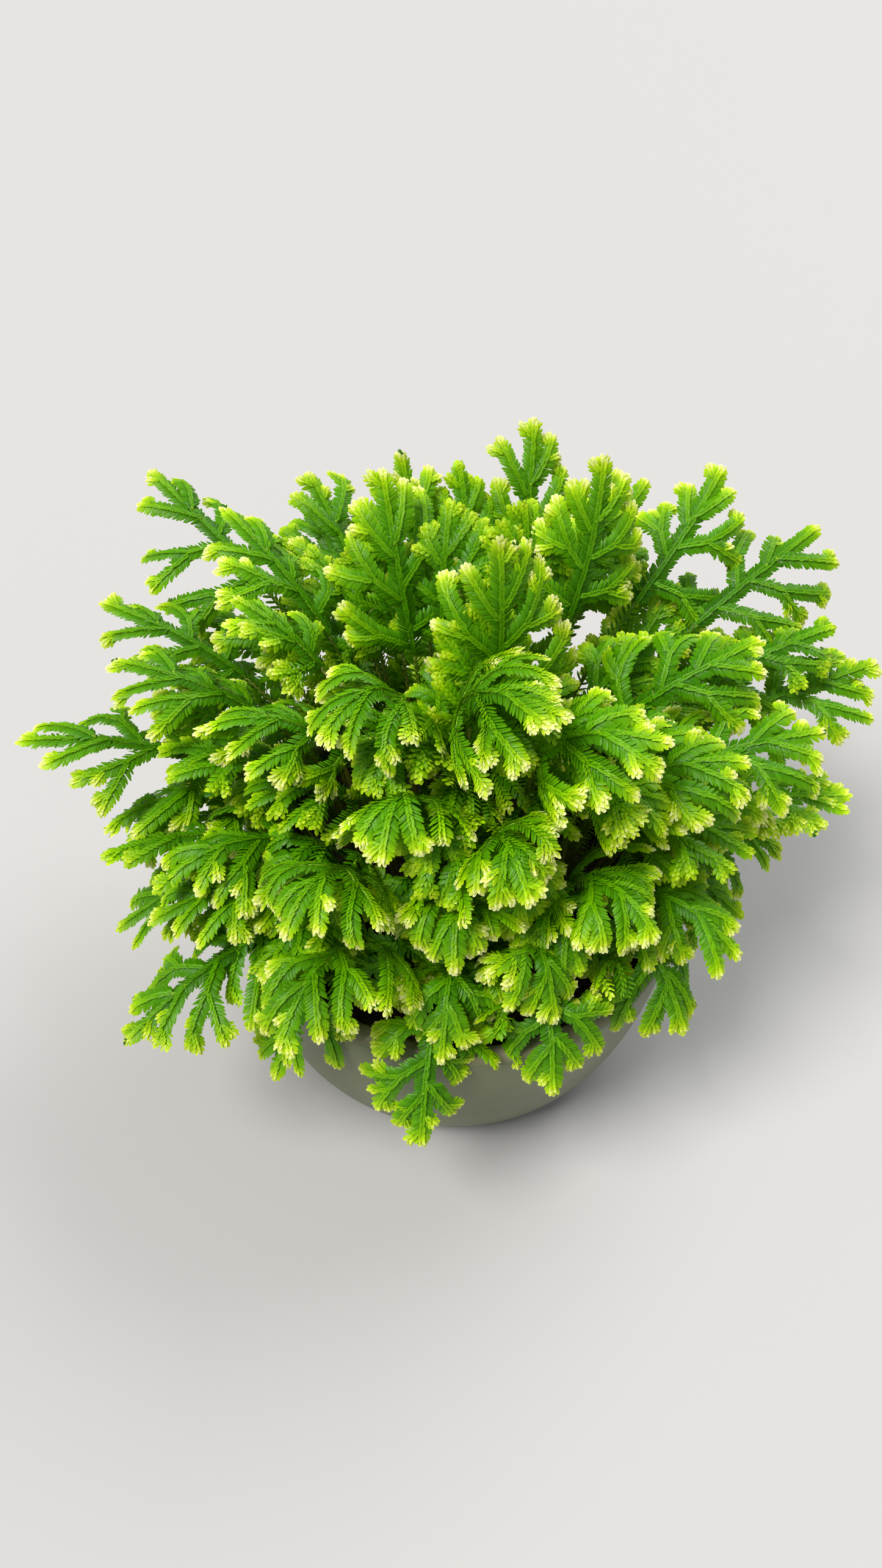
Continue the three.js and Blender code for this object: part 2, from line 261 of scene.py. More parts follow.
# The lining is painted blue-grey: a painted reflection of the sky in the inner wall.
lining_painted_reflection = blended(tree, attribute(tree, "inside"), lip_painted_highlight, linear("#5c7378"))
bare = attribute(tree, "bare_clay")
bare_foot = blended(tree, bare, lining_painted_reflection, linear("#b9a98c"))
orange_peel = relief(tree, noise(tree, ORANGE_PEEL_MM, 2.0), 0.12, 0.35)
glaze = node(tree, "ShaderNodeBsdfPrincipled", {
    "Base Color": bare_foot, "Roughness": stretched(tree, bare, 0.36, 0.8), "IOR": 1.5,
    "Specular IOR Level": 0.32, "Normal": orange_peel})
node(tree, "ShaderNodeOutputMaterial", {"Surface": glaze.outputs["BSDF"]})
print("glaze nodes:", len(tree.nodes))


# %% The pot
POT_RADIUS = 60
POT_HEIGHT = 60
FOOT_RADIUS = 46
WALL = 5.5
FLOOR = 6
LIP_RISE = 3
BELLY = 0.45
POT_SIDES = 120
# How far below the top the painted lip highlight reaches, and over how many mm it fades in.
LIP_HIGHLIGHT_DEPTH = 2.2
LIP_HIGHLIGHT_OVER = 1.8
BARE_HEIGHT = 0.9


def turned(outline, sides):
    """Points of a turned shape: each (radius, height) of the outline goes round Z in equal steps.
    The first and last outline points lie on the axis and become one point each."""
    angle = np.arange(sides) * 2 * np.pi / sides
    rings = outline[1:-1]
    ring_points = np.stack([
        rings[:, None, 0] * np.cos(angle), rings[:, None, 0] * np.sin(angle),
        np.broadcast_to(rings[:, None, 1], (len(rings), sides))], axis=-1).reshape(-1, 3)
    ends = np.array([[0, 0, outline[0, 1]], [0, 0, outline[-1, 1]]])
    return np.concatenate([ends, ring_points])


def turned_faces(ring_count, sides):
    """Triangles between the rings and from the end rings to the two end points."""
    here = np.arange(sides)
    after = (here + 1) % sides
    last = 2 + (ring_count - 1) * sides
    lower = 2 + sides * np.arange(ring_count - 1)[:, None]
    a, b = (lower + here).ravel(), (lower + after).ravel()
    c, d = b + sides, a + sides
    return np.concatenate([
        np.stack([np.zeros(sides, int), 2 + after, 2 + here], 1),
        np.stack([a, b, c], 1), np.stack([a, c, d], 1),
        np.stack([np.ones(sides, int), last + here, last + after], 1)])


def side_radius(share):
    """The pot's outside swells from the foot to the shoulder as a quarter of an ellipse."""
    return FOOT_RADIUS + (POT_RADIUS - FOOT_RADIUS) * np.sqrt(1 - (1 - share) ** 2)


shoulder = POT_HEIGHT - LIP_RISE
lip_half = WALL / 2
climb = np.linspace(0.02, 1, 22)
outside = np.stack([side_radius(climb), climb * shoulder], 1)
over_lip = np.linspace(0, np.pi, 12)[1:-1]
lip = np.stack([POT_RADIUS - lip_half + lip_half * np.cos(over_lip),
                shoulder + LIP_RISE * np.sin(over_lip)], 1)
lining_shares = [0.12, 0.2, BELLY, 1]
lining_radii = [FOOT_RADIUS - WALL - 3, side_radius(0.2) - WALL - 1,
                side_radius(BELLY) - WALL, POT_RADIUS - WALL]
lining_heights = [FLOOR, FLOOR + 3, BELLY * POT_HEIGHT, shoulder]
descent = np.linspace(1, lining_shares[0], 10)
lining = np.stack([np.interp(descent, lining_shares, lining_radii),
                   np.interp(descent, lining_shares, lining_heights)], 1)
foot = np.array([[0, 0], [20, 0], [FOOT_RADIUS - 4, 0], [FOOT_RADIUS - 2, 0], [FOOT_RADIUS - 1, 0.25]])
pot_outline = np.concatenate([foot, outside, lip, lining, [[20, FLOOR], [0, FLOOR]]])
pot_points = turned(pot_outline, POT_SIDES)
pot_z = pot_points[:, 2]
first_lined = len(foot) + len(outside) + len(lip) - 1
ring_lined = np.arange(len(pot_outline) - 2) >= first_lined
# The lip band marks where the rim's highlight is painted into the glaze colour.
pot = mesh_piece(
    "glazed_pot", pot_points, turned_faces(len(pot_outline) - 2, POT_SIDES), [satin_glaze],
    thin_glaze=np.clip((pot_z - POT_HEIGHT + LIP_HIGHLIGHT_DEPTH) / LIP_HIGHLIGHT_OVER, 0, 1),
    # The lining mark is where the painted reflection of the sky goes.
    inside=np.concatenate([[0, 1], np.repeat(ring_lined, POT_SIDES)]),
    bare_clay=np.where(pot_z < BARE_HEIGHT, 1.0, 0.0))
wearing(pot, "glaze", "pot")
print("pot triangles:", len(pot.data.polygons))


# %% [markdown]
# The soil is dark peat: brown fibre and crumbs a millimetre or two across, damp, so it is almost
# black between them. Its surface is a disc whose height is a sum of ripples with seeded phases, and
# loose crumbs of the same peat lie on it. Each crumb is a rough twenty-sided lump.

# %% The peat
PEAT_GRAIN_MM = 1.6
SOIL_TOP = 53
SOIL_SIDES = 110
SOIL_GAP = 0.4
PEAT_SEED = 7
# The length and height of each set of ripples, in mm, and how many cross each other in a set.
RIPPLES = ((17, 0.2), (7, 0.14), (3, 0.1))
WAVES = 6

damp_peat, tree = new_material("damp_peat")
grain = noise(tree, PEAT_GRAIN_MM, 5.0)
fibre = colour_ramp(tree, grain, [(0.35, "#0d0a08"), (0.55, "#2a1d14"), (0.75, "#5a4129")])
peat = node(tree, "ShaderNodeBsdfPrincipled", {
    "Base Color": fibre, "Roughness": 0.85, "Normal": relief(tree, grain, 0.8, 0.9)})
node(tree, "ShaderNodeOutputMaterial", {"Surface": peat.outputs["BSDF"]})

peat_draws = np.random.default_rng(PEAT_SEED)
soil_edge = np.interp(SOIL_TOP, lining_heights, lining_radii) - SOIL_GAP
soil_rings = np.concatenate([soil_edge - 34 * np.linspace(0, 1, 26), [14, 8, 3]])
soil_below = np.array([
    [0, FLOOR + 1], [FOOT_RADIUS - WALL - 6, FLOOR + 1],
    [side_radius(BELLY) - WALL - 1.2, BELLY * POT_HEIGHT], [soil_edge, SOIL_TOP - 1.5]])
soil_above = np.stack([soil_rings, SOIL_TOP + 0.8 - 0.5 * (soil_rings / soil_edge) ** 6], 1)
soil_outline = np.concatenate([soil_below, soil_above, [[0, SOIL_TOP + 0.8]]])
soil_points = turned(soil_outline, SOIL_SIDES)
on_top = soil_points[:, 2] > SOIL_TOP - 1
for length, rise in RIPPLES:
    for _ in range(WAVES):
        way = peat_draws.normal(size=2)
        way *= 2 * np.pi / length / np.hypot(*way)
        ripple = np.sin(soil_points[:, :2] @ way + peat_draws.uniform(0, 2 * np.pi))
        soil_points[:, 2] += np.where(on_top, rise * ripple, 0)
soil = mesh_piece("peat_soil", soil_points, turned_faces(len(soil_outline) - 2, SOIL_SIDES), [damp_peat])
wearing(soil, "peat", "soil")
print("soil triangles:", len(soil.data.polygons))

# %% Loose crumbs
GOLDEN = (1 + 5 ** 0.5) / 2
LONGEST_EDGE = 1.1
CRUMBS = 520
CRUMB_FIELD = 0.96
SMALLEST_CRUMB = 0.35
LARGEST_CRUMB = 1.45

# A twenty-sided lump has its corners at (0, +-1, +-golden ratio), rolled round the three axes.
quarter = np.array([[0, a, b * GOLDEN] for a in (-1, 1) for b in (-1, 1)], float)
lump = np.concatenate([np.roll(quarter, axis, 1) for axis in range(3)]) / np.hypot(1, GOLDEN)
triples = np.array([[i, j, k] for i in range(12) for j in range(i) for k in range(j)])
edges = [np.linalg.norm(lump[triples[:, a]] - lump[triples[:, b]], axis=1)
         for a, b in ((0, 1), (1, 2), (2, 0))]
lump_faces = triples[np.all(np.array(edges) < LONGEST_EDGE, axis=0)]
corner_a, corner_b, corner_c = (lump[lump_faces[:, k]] for k in range(3))
inward = np.einsum("ij,ij->i", corner_a, np.cross(corner_b, corner_c)) < 0
lump_faces[inward] = lump_faces[inward][:, ::-1]

from_middle = soil_edge * CRUMB_FIELD * np.sqrt(peat_draws.uniform(0.02, 1, CRUMBS))
round_pot = peat_draws.uniform(0, 2 * np.pi, CRUMBS)
crumb_size = SMALLEST_CRUMB + (LARGEST_CRUMB - SMALLEST_CRUMB) * peat_draws.uniform(0, 1, CRUMBS) ** 3
stretch = peat_draws.uniform(0.6, 1.5, (CRUMBS, 1, 3)) * crumb_size[:, None, None]
rough = peat_draws.uniform(0.75, 1.2, (CRUMBS, 12, 1))
crumb_places = np.stack([
    from_middle * np.cos(round_pot), from_middle * np.sin(round_pot), np.full(CRUMBS, SOIL_TOP + 1.0)], 1)
crumb_points = (lump * rough * stretch + crumb_places[:, None, :]).reshape(-1, 3)
crumb_faces = (lump_faces[None] + 12 * np.arange(CRUMBS)[:, None, None]).reshape(-1, 3)
crumbs = mesh_piece("peat_crumbs", crumb_points, crumb_faces, [damp_peat])
wearing(crumbs, "peat")
print("crumb triangles:", len(crumbs.data.polygons))


# %% [markdown]
# A spray starts as a path: a stem that rises from the soil, arches over and becomes the rib of a
# flat fan. Each row below says where one spray goes: its whorl, the bearing of its tip in degrees
# from +X towards +Y, reach and height of the tip, turn and fall of the fan there, blade length,
# half width and roll. They are the same rows as the plain blades of the frame were grown from, so
# each leafy spray lies where its blade is.

# %% Where the sprays go
# Each whorl: the radius that its stems rise from, and the steepness that they start at in degrees.
WHORLS = {"crown": (8, 88), "upper": (17, 85), "middle": (26, 82), "lower": (35, 76), "skirt": (43, 70)}
SPRAYS = [
    ("crown", 80, 16, 154, 20, -50, 38, 18, 0),
    ("crown", -58, 32, 147, 30, 0, 36, 17, 10),
    ("crown", -146, 40, 130, 12, 42, 36, 18, 10),
    ("upper", 62, 57, 153, 25, -48, 38, 18, 10),
    ("upper", 120, 50, 150, -15, -38, 44, 20, 0),
    ("upper", 20, 72, 124, 18, 0, 42, 20, 10),
    ("upper", -32, 46, 139, 30, 8, 38, 18, 10),
    ("upper", -174, 62, 114, -8, 30, 40, 18, 10),
    ("upper", -112, 48, 118, 15, 50, 38, 18, 10),
    ("upper", -74, 50, 112, 20, 50, 34, 17, 10),
    ("middle", 142, 82, 132, -5, -15, 42, 20, 10),
    ("middle", 108, 72, 138, 0, -38, 42, 18, 10),
    ("middle", 82, 82, 142, 8, -38, 44, 18, 10),
    ("middle", 52, 100, 134, 14, -18, 46, 20, 10),
    ("middle", -12, 62, 122, 25, 12, 40, 18, 10),
    ("middle", -45, 62, 95, 8, 45, 36, 18, 10),
    ("middle", -91, 54, 92, 6, 55, 34, 15, 10),
    ("middle", -125, 66, 102, 8, 50, 36, 18, 10),
    ("middle", -155, 77, 87, 4, 40, 38, 18, 0),
    ("middle", 171, 88, 113, -12, 10, 42, 19, 10),
    ("middle", 5, 84, 112, 20, 8, 42, 19, 10),
    ("lower", 138, 124, 118, -4, -8, 50, 22, 0),
    ("lower", 156, 108, 104, 2, -3, 44, 19, 0),
    ("lower", 120, 96, 120, 0, -20, 44, 20, 10),
    ("lower", 68, 98, 122, 15, -25, 46, 20, 10),
    ("lower", 40, 118, 120, 8, -5, 48, 21, 10),
    ("lower", 23, 116, 100, 5, -6, 46, 21, 10),
    ("lower", -3, 76, 91, -22, 30, 38, 18, 0),
    ("lower", -27, 76, 76, 0, 38, 38, 18, 10),
    ("lower", -67, 60, 76, 0, 54, 32, 15, -10),
    ("lower", -92, 63, 67, 0, 58, 32, 14, 0),
    ("lower", -119, 79, 80, 8, 44, 40, 19, 10),
    ("lower", -154, 82, 76, -10, 30, 38, 18, 10),
    ("lower", -180, 110, 98, -2, 8, 50, 21, 10),
    ("lower", -172, 90, 80, 20, 30, 38, 18, 10),
    ("skirt", 150, 96, 78, 0, 25, 42, 20, 10),
    ("skirt", 112, 90, 84, 0, 20, 42, 19, 10),
    ("skirt", 80, 90, 88, 0, 20, 42, 19, 10),
    ("skirt", 45, 96, 84, 0, 22, 42, 20, 10),
    ("skirt", 5, 86, 66, 0, 30, 38, 18, 10),
    ("skirt", -41, 74, 63, -20, 42, 34, 18, 0),
    ("skirt", -69, 69, 58, -12, 53, 32, 15, 10),
    ("skirt", -94, 75, 47, 8, 62, 38, 16, 0),
    ("skirt", -125, 74, 48, 8, 52, 34, 16, 10),
    ("skirt", -143, 97, 58, 0, 30, 42, 19, 10),
    ("skirt", -160, 90, 64, 0, 35, 38, 17, 10),
]
STEM_DEPTH = 5
# How far a stem keeps its first direction and its last: a share of its span, and at least this far.
ROOT_PULL = 0.55
ROOT_PULL_LEAST = 36
TIP_PULL = 0.42
TIP_PULL_LEAST = 28
SPINE_STEPS = 240


def aim(bearing, climb):
    """A unit vector at a compass bearing and a climb above level, both in degrees."""
    b, c = np.radians(bearing), np.radians(climb)
    return np.array([np.cos(b) * np.cos(c), np.sin(b) * np.cos(c), np.sin(c)])


def spine(row):
    """The stem and rib as arrays by length: a cubic curve B(t) from a foot under the soil to the tip,
    with its direction, the direction across the blade, and the blade's upward normal."""
    whorl, bearing, reach, height, turn, fall, blade, half, roll = row
    hole, rise = WHORLS[whorl]
    root = aim(bearing, 0) * hole + [0, 0, SOIL_TOP - STEM_DEPTH]
    tip = aim(bearing, 0) * reach + [0, 0, height]
    span = np.linalg.norm(tip - root)
    knots = np.array([
        root, root + aim(bearing, rise) * max(ROOT_PULL * span, ROOT_PULL_LEAST),
        tip - aim(bearing + turn, -fall) * max(TIP_PULL * span, TIP_PULL_LEAST), tip])
    t = np.linspace(0, 1, SPINE_STEPS + 1)[:, None]
    points = ((1 - t) ** 3 * knots[0] + 3 * (1 - t) ** 2 * t * knots[1]
              + 3 * (1 - t) * t**2 * knots[2] + t**3 * knots[3])
    lengths = np.concatenate([[0], np.cumsum(np.linalg.norm(np.diff(points, axis=0), axis=1))])
    ahead = np.gradient(points, lengths, axis=0)
    ahead /= np.linalg.norm(ahead, axis=1)[:, None]
    heading = np.radians(bearing + turn)
    across = np.array([np.sin(heading), -np.cos(heading), 0])
    across = across - (ahead @ across)[:, None] * ahead
    across /= np.linalg.norm(across, axis=1)[:, None]
    lean = np.radians(roll)
    tilted = np.cos(lean) * across - np.sin(lean) * np.cross(across, ahead)
    return lengths, points, ahead, tilted, np.cross(tilted, ahead)


print("sprays:", len(SPRAYS))


# %% [markdown]
# A fan is flat before it is arched: u runs along the rib and w runs out from it. Three branches
# leave the rib on each side, the lower two fork, and most straps carry short side buds a little
# below their growing tip, which is why the real tips are blunt. So one spray is a list of little
# straps. Each has its place, direction and length in the fan, and curls, sags and rolls a little of
# its own. Its drop and slope carry on from the strap that it grows on. How far its end is from the
# growing tip beyond it is kept too, because the distance from the tip sets a leaf's age.

# %% The straps of one spray
STRAP = {"u": 0, "w": 0, "angle": 0, "length": 0, "curl": 0, "lift": 0, "drop": 0, "slope": 0,
         "sag": 0, "roll": 0, "size": 1, "spacing": 1, "onward": 0, "tone": 0.5}
# Each branch: angle from the rib, length by the fan's half width, and root by the fan's length.
SIDE_BRANCHES = ((68, 1.02, 0.07), (48, 1.04, 0.31), (34, 0.72, 0.54))
STAGGER = 0.08
ANGLE_SWING = 15
REACH_SWING = 0.3
LIFT_SWING = 7
ROLL_SWING = 40
TONE_SWING = 0.3
RIB_SAG = 0.0008
SAG = 0.017
FORKED_BRANCHES = 2
TRUNK_SHARE = 0.4
TRUNK_SAG = 0.6
TRUNK_ONWARD = 10
# Each arm of a fork: its turn from the trunk, and its length by what is left of the branch.
ARMS = ((34, 0.8), (-15, 1.1))
ARM_CURL = 15
ARM_LEAST = 0.78
ARM_MORE = 0.44
ARM_SIZE = 0.96
GROWN = 1.16
# Each bud: how far it sits below the tip, in mm, and how often there is one. It may sit up to
# BUD_LOWER mm lower, but never in the lowest BUD_LOWEST of its strap.
BUD_PLACES = ((3.2, 0.75), (7, 0.35))
BUD_LOWER = 1.5
BUD_LOWEST = 0.3
BUD_LENGTH = 3.2
BUD_LONGER = 1.8
BUD_ANGLE = 40
BUD_WIDER = 8
BUD_CURL = 8
BUD_SLOPE = 0.8
BUD_SIZE = 0.9
BARE_SHARE = 0.35
STEM_SPACING = 2.2
STEM_SIZE = 0.9
WORD = 0xFFFFFFFF


def seeded(seed):
    """The frame's own small random generator, so a spray's branches lean the ways its blade's do."""
    state = seed & WORD

    def draw():
        nonlocal state
        state = (state + 0x6D2B79F5) & WORD
        t = ((state ^ (state >> 15)) * (1 | state)) & WORD
        t = ((t + (t ^ (t >> 7)) * (61 | t)) & WORD) ^ t
        return ((t ^ (t >> 14)) & WORD) / (WORD + 1)

    return draw


def swung(draw, swing):
    """A number from minus half the swing to plus half of it."""
    return swing * (draw() - 0.5)


def along_strap(strap, along):
    """Where the fan is at a distance along a strap: u, w, heading, and how far it has sagged."""
    chord = np.radians(strap["angle"] + 0.5 * strap["curl"] * along / strap["length"])
    u, w = strap["u"] + along * np.cos(chord), strap["w"] + along * np.sin(chord)
    heading = strap["angle"] + strap["curl"] * along / strap["length"]
    return u, w, heading, strap["drop"] + strap["slope"] * along + strap["sag"] * along**2


def with_buds(lead, draw):
    """A strap that ends in a growing tip, and the side buds that most of them carry."""
    lead = STRAP | lead | {"tone": 0.5 + swung(draw, TONE_SWING)}
    straps = [lead]
    way = 1 if draw() > 0.5 else -1
    for place, chance in BUD_PLACES:
        along = max(lead["length"] - place - BUD_LOWER * draw(), BUD_LOWEST * lead["length"])
        u, w, heading, drop = along_strap(lead, along)
        length = BUD_LENGTH + BUD_LONGER * draw()
        turn = way * (BUD_ANGLE + BUD_WIDER * draw())
        roll = swung(draw, ROLL_SWING)
        slope = BUD_SLOPE * (lead["slope"] + 2 * lead["sag"] * along)
        if draw() < chance:
            straps.append(lead | {
                "u": u, "w": w, "angle": heading + turn, "length": length, "curl": -BUD_CURL * way,
                "drop": drop, "slope": slope, "roll": roll, "size": BUD_SIZE * lead["size"]})
        way = -way
    return straps


def straps_of(row, stem_length):
    """All the straps of a spray: the rib, then each branch's trunk and the arms that it forks into."""
    bearing, reach, blade, half = row[1], row[2], row[6], row[7]
    draw = seeded(1000 * reach + bearing + 180)
    branches = []
    for side in (-1, 1):
        for order, (angle, share, root) in enumerate(SIDE_BRANCHES):
            angle += swung(draw, ANGLE_SWING)
            length = share * half * (1 + swung(draw, REACH_SWING))
            lift = swung(draw, LIFT_SWING)
            u = stem_length + (root + (STAGGER if side > 0 else 0)) * blade
            branches.append((side, order, u, angle, length, lift))
    straps = with_buds({"u": stem_length, "length": blade, "sag": RIB_SAG}, draw)
    for side, order, u, angle, length, lift in branches:
        arm = STRAP | {"u": u, "angle": side * angle, "lift": lift, "curl": -side * ARM_CURL}
        if order >= FORKED_BRANCHES:
            sag, roll = SAG * (0.5 + draw()), swung(draw, ROLL_SWING)
            straps += with_buds(arm | {"length": GROWN * length, "sag": sag, "roll": roll}, draw)
            continue
        trunk = arm | {"length": TRUNK_SHARE * length, "curl": 0, "sag": TRUNK_SAG * SAG,
                       "onward": TRUNK_ONWARD}
        straps.append(trunk)
        fork_u, fork_w, heading, drop = along_strap(trunk, trunk["length"])
        slope = 2 * trunk["sag"] * trunk["length"]
        for turn, part in ARMS:
            arm_length = part * GROWN * (1 - TRUNK_SHARE) * length * (ARM_LEAST + ARM_MORE * draw())
            sag, roll = SAG * (0.5 + draw()), swung(draw, ROLL_SWING)
            straps += with_buds(arm | {
                "u": fork_u, "w": fork_w, "angle": side * (angle + turn), "length": arm_length,
                "drop": drop, "slope": slope, "sag": sag, "roll": roll, "size": ARM_SIZE}, draw)
    straps.append(STRAP | {
        "u": BARE_SHARE * stem_length, "length": (1 - BARE_SHARE) * stem_length, "size": STEM_SIZE,
        "spacing": STEM_SPACING, "onward": TRUNK_ONWARD + blade})
    return straps


first_stem = spine(SPRAYS[0])[0][-1] - SPRAYS[0][6]
print("straps in the first spray:", len(straps_of(SPRAYS[0], first_stem)))


# %% [markdown]
# Leaves sit at even steps along each strap. A leaf is thinner than paper, so it is a single sheet,
# made from a template of a few points: x runs along it, y across it and z up. The side leaves of
# the outer sprays have three rows of points, those of the understorey two, and the slim leaves on
# top of the stem one. Placing thousands of them is one array product: each point is
# base + x * length * forward + y * half * sideways + (z * half - x**2 * sag) * up. The side leaves
# stand at about 60 degrees and droop a little. Near a tip they are younger, so they are shorter,
# lean forward and cup upward. The leaves on top of the stem lie forward and rise to their points.

# %% Leaf templates
LEAF_STEP = 0.77
# Each row of a leaf: how far out it lies, its half width, and the height of its keel.
SIDE_OUTLINE = ((0.24, 0.86, 0.3), (0.6, 1, 0.36), (0.88, 0.7, 0.2))
PLAIN_OUTLINE = ((0.3, 0.95, 0.34), (0.78, 0.88, 0.26))
TOP_OUTLINE = ((0.4, 1, 0.6),)
TOP_POINT_RISE = 0.3
# The keel counts this much nearer the leaf's base, so that painted shade lies along it.
KEEL_SHADE = 0.15


def leaf_template(outline, tip_height):
    """A leaf as one sheet: a base point, rows of left, keel and right points, and a tip point.
    Beside its points and triangles it has how far out each point lies, a little less on the keel."""
    rows = [[x, y * half, z * keel] for x, half, keel in outline for y, z in ((1, 0), (0, 1), (-1, 0))]
    points = np.array([[0, 0, 0], *rows, [1, 0, tip_height]])
    last = len(points) - 1
    faces = [[0, 2, 1], [0, 3, 2], [last - 2, last, last - 3], [last - 1, last, last - 2]]
    for row in range(1, last - 3, 3):
        for a, b in ((row, row + 1), (row + 1, row + 2)):
            faces += [[a, b, b + 3], [a, b + 3, a + 3]]
    return points, np.array(faces), points[:, 0] - np.where(points[:, 1] == 0, KEEL_SHADE, 0)


side_leaf = leaf_template(SIDE_OUTLINE, 0)
plain_leaf = leaf_template(PLAIN_OUTLINE, 0)
top_leaf = leaf_template(TOP_OUTLINE, TOP_POINT_RISE)
print("triangles in a side leaf:", len(side_leaf[1]), "and in a top leaf:", len(top_leaf[1]))

# %% Where the leaves sit
DROOP_RADIUS = 46
LIFT_WITHIN = 8
FIRST_STEP = 0.55
END_SLACK = 0.01


def stations(straps, phase, step):
    """Even steps along every strap: the strap that each belongs to, and its distance from the root."""
    runs = [np.arange((FIRST_STEP + phase) * step * one["spacing"], one["length"] + END_SLACK,
                      step * one["spacing"]) for one in straps]
    owner = np.repeat(np.arange(len(straps)), [len(run) for run in runs])
    return {key: np.array([one[key] for one in straps])[owner] for key in STRAP}, np.concatenate(runs)


def on_spray(path, u, w):
    """Bends flat points over the arched spray: along its path, and down to both sides on a circle."""
    lengths = path[0]
    at = np.clip(u, 0, lengths[-1])
    centre, ahead, across, normal = (
        np.stack([np.interp(at, lengths, rows[:, k]) for k in range(3)], 1) for rows in path[1:])
    bend = (w / DROOP_RADIUS)[:, None]
    side = across * np.cos(bend) - normal * np.sin(bend)
    top = across * np.sin(bend) + normal * np.cos(bend)
    centre = (centre + ahead * (u - at)[:, None] + across * DROOP_RADIUS * np.sin(bend)
              - normal * DROOP_RADIUS * (1 - np.cos(bend)))
    return centre, ahead, side, top


def turned_by(first, second, angle):
    """Two square directions, turned towards each other: first goes towards second by the angle."""
    c, s = np.cos(angle)[..., None], np.sin(angle)[..., None]
    return first * c + second * s, second * c - first * s


def strap_frames(path, strap, along):
    """Centre, heading, outward and upward direction at each distance along its strap."""
    u, w, turn, drop = along_strap(strap, along)
    centre, ahead, side, top = on_spray(path, u, w)
    heading, out = turned_by(ahead, side, np.radians(turn))
    raised = strap["lift"] * np.minimum(np.abs(w) / LIFT_WITHIN, 1) - drop
    centre = centre + top * raised[:, None]
    heading, top = turned_by(heading, top, -np.arctan(strap["slope"] + 2 * strap["sag"] * along))
    rolled = np.radians(strap["roll"]) * np.minimum(3 * along / strap["length"], 1)
    out, top = turned_by(out, top, rolled)
    return centre, heading, out, top


def laid(leaf, base, forward, upward, length, half, sag):
    """Copies of a leaf, one for each base point, as points and triangles:
    base + x * length * forward + y * half * sideways + (z * half - x**2 * sag) * upward."""
    template, faces, _ = leaf
    upward = upward - forward * np.einsum("ij,ij->i", forward, upward)[:, None]
    upward /= np.linalg.norm(upward, axis=1)[:, None]
    sideways = np.cross(upward, forward)
    x, y, z = template.T
    points = (base[:, None] + forward[:, None] * (x[:, None] * length[:, None, None])
              + sideways[:, None] * (y[:, None] * half[:, None, None])
              + upward[:, None] * (z[:, None] * half[:, None, None] - x[:, None] ** 2 * sag[:, None, None]))
    rows = faces[None] + len(template) * np.arange(len(base))[:, None, None]
    return points.reshape(-1, 3), rows.reshape(-1, 3)


# %% Side leaves and top leaves
SIDE_LEAF = 3.2
SIDE_HALF = 0.43
SIDE_SEAT = 0.1
SIDE_SAG = 0.24
SHINGLE = 27
TOP_LEAF = 1.8
TOP_HALF = 0.4
TOP_SEAT = 0.4
TOP_APART = 0.18
TOP_SAG = 0.05
TOP_YOUNGER = 0.12
OLDEST = 0.12
FRESH_MM = 15
CREAM_MM = 2.6


def near_tip(distance, far, near, reach):
    """A value along a strap: far + (near - far) * exp(-distance / reach), by distance from the tip."""
    return far + (near - far) * np.exp(-distance / reach)


def youth(distance, vigour):
    """From 0 for an old leaf to 1 at the growing tip, falling off with the distance from it."""
    fresh = (0.2 + 0.16 * vigour) * np.exp(-distance / FRESH_MM)
    cream = (0.2 + 0.3 * vigour) * np.exp(-((distance / CREAM_MM) ** 1.4))
    return OLDEST + fresh + cream


def widened(step):
    """Leaves that are set further apart are wider too, so that they still close their row."""
    return (step / LEAF_STEP) ** 0.8


def side_leaves(path, straps, way, vigour, random, step):
    """The comb of leaves on one side of every strap, half a step on from the other side's comb:
    way is 1 for the right and -1 for the left."""
    strap, along = stations(straps, 0.25 * (1 + way), step)
    centre, heading, out, top = strap_frames(path, strap, along)
    distance = strap["length"] - along + strap["onward"]
    count = len(along)
    opening = near_tip(distance, 60, 14, 1.5) + random.normal(0, 3.5, count)
    rise = near_tip(distance, 3, 19, 1.6) + random.normal(0, 4, count)
    forward, _ = turned_by(heading, way * out, np.radians(opening))
    forward, _ = turned_by(forward, top, np.radians(rise))
    shingle = np.radians(way * (-SHINGLE + random.normal(0, 5, count)))
    upward, _ = turned_by(top, np.cross(top, forward), shingle)
    length = SIDE_LEAF * strap["size"] * near_tip(distance, 1, 0.6, 1)
    length *= random.uniform(0.93, 1.05, count) * np.minimum(1, 0.62 + along / 3)
    half = SIDE_HALF * strap["size"] * near_tip(distance, 1, 1.35, 2.4) * widened(step)
    leaf = side_leaf if step == LEAF_STEP else plain_leaf
    points, faces = laid(
        leaf, centre + top * SIDE_SEAT, forward, upward, length, half, SIDE_SAG * length)
    tone = strap["tone"] + random.normal(0, 0.13, count)
    return points, faces, youth(distance, vigour), tone, leaf[2]


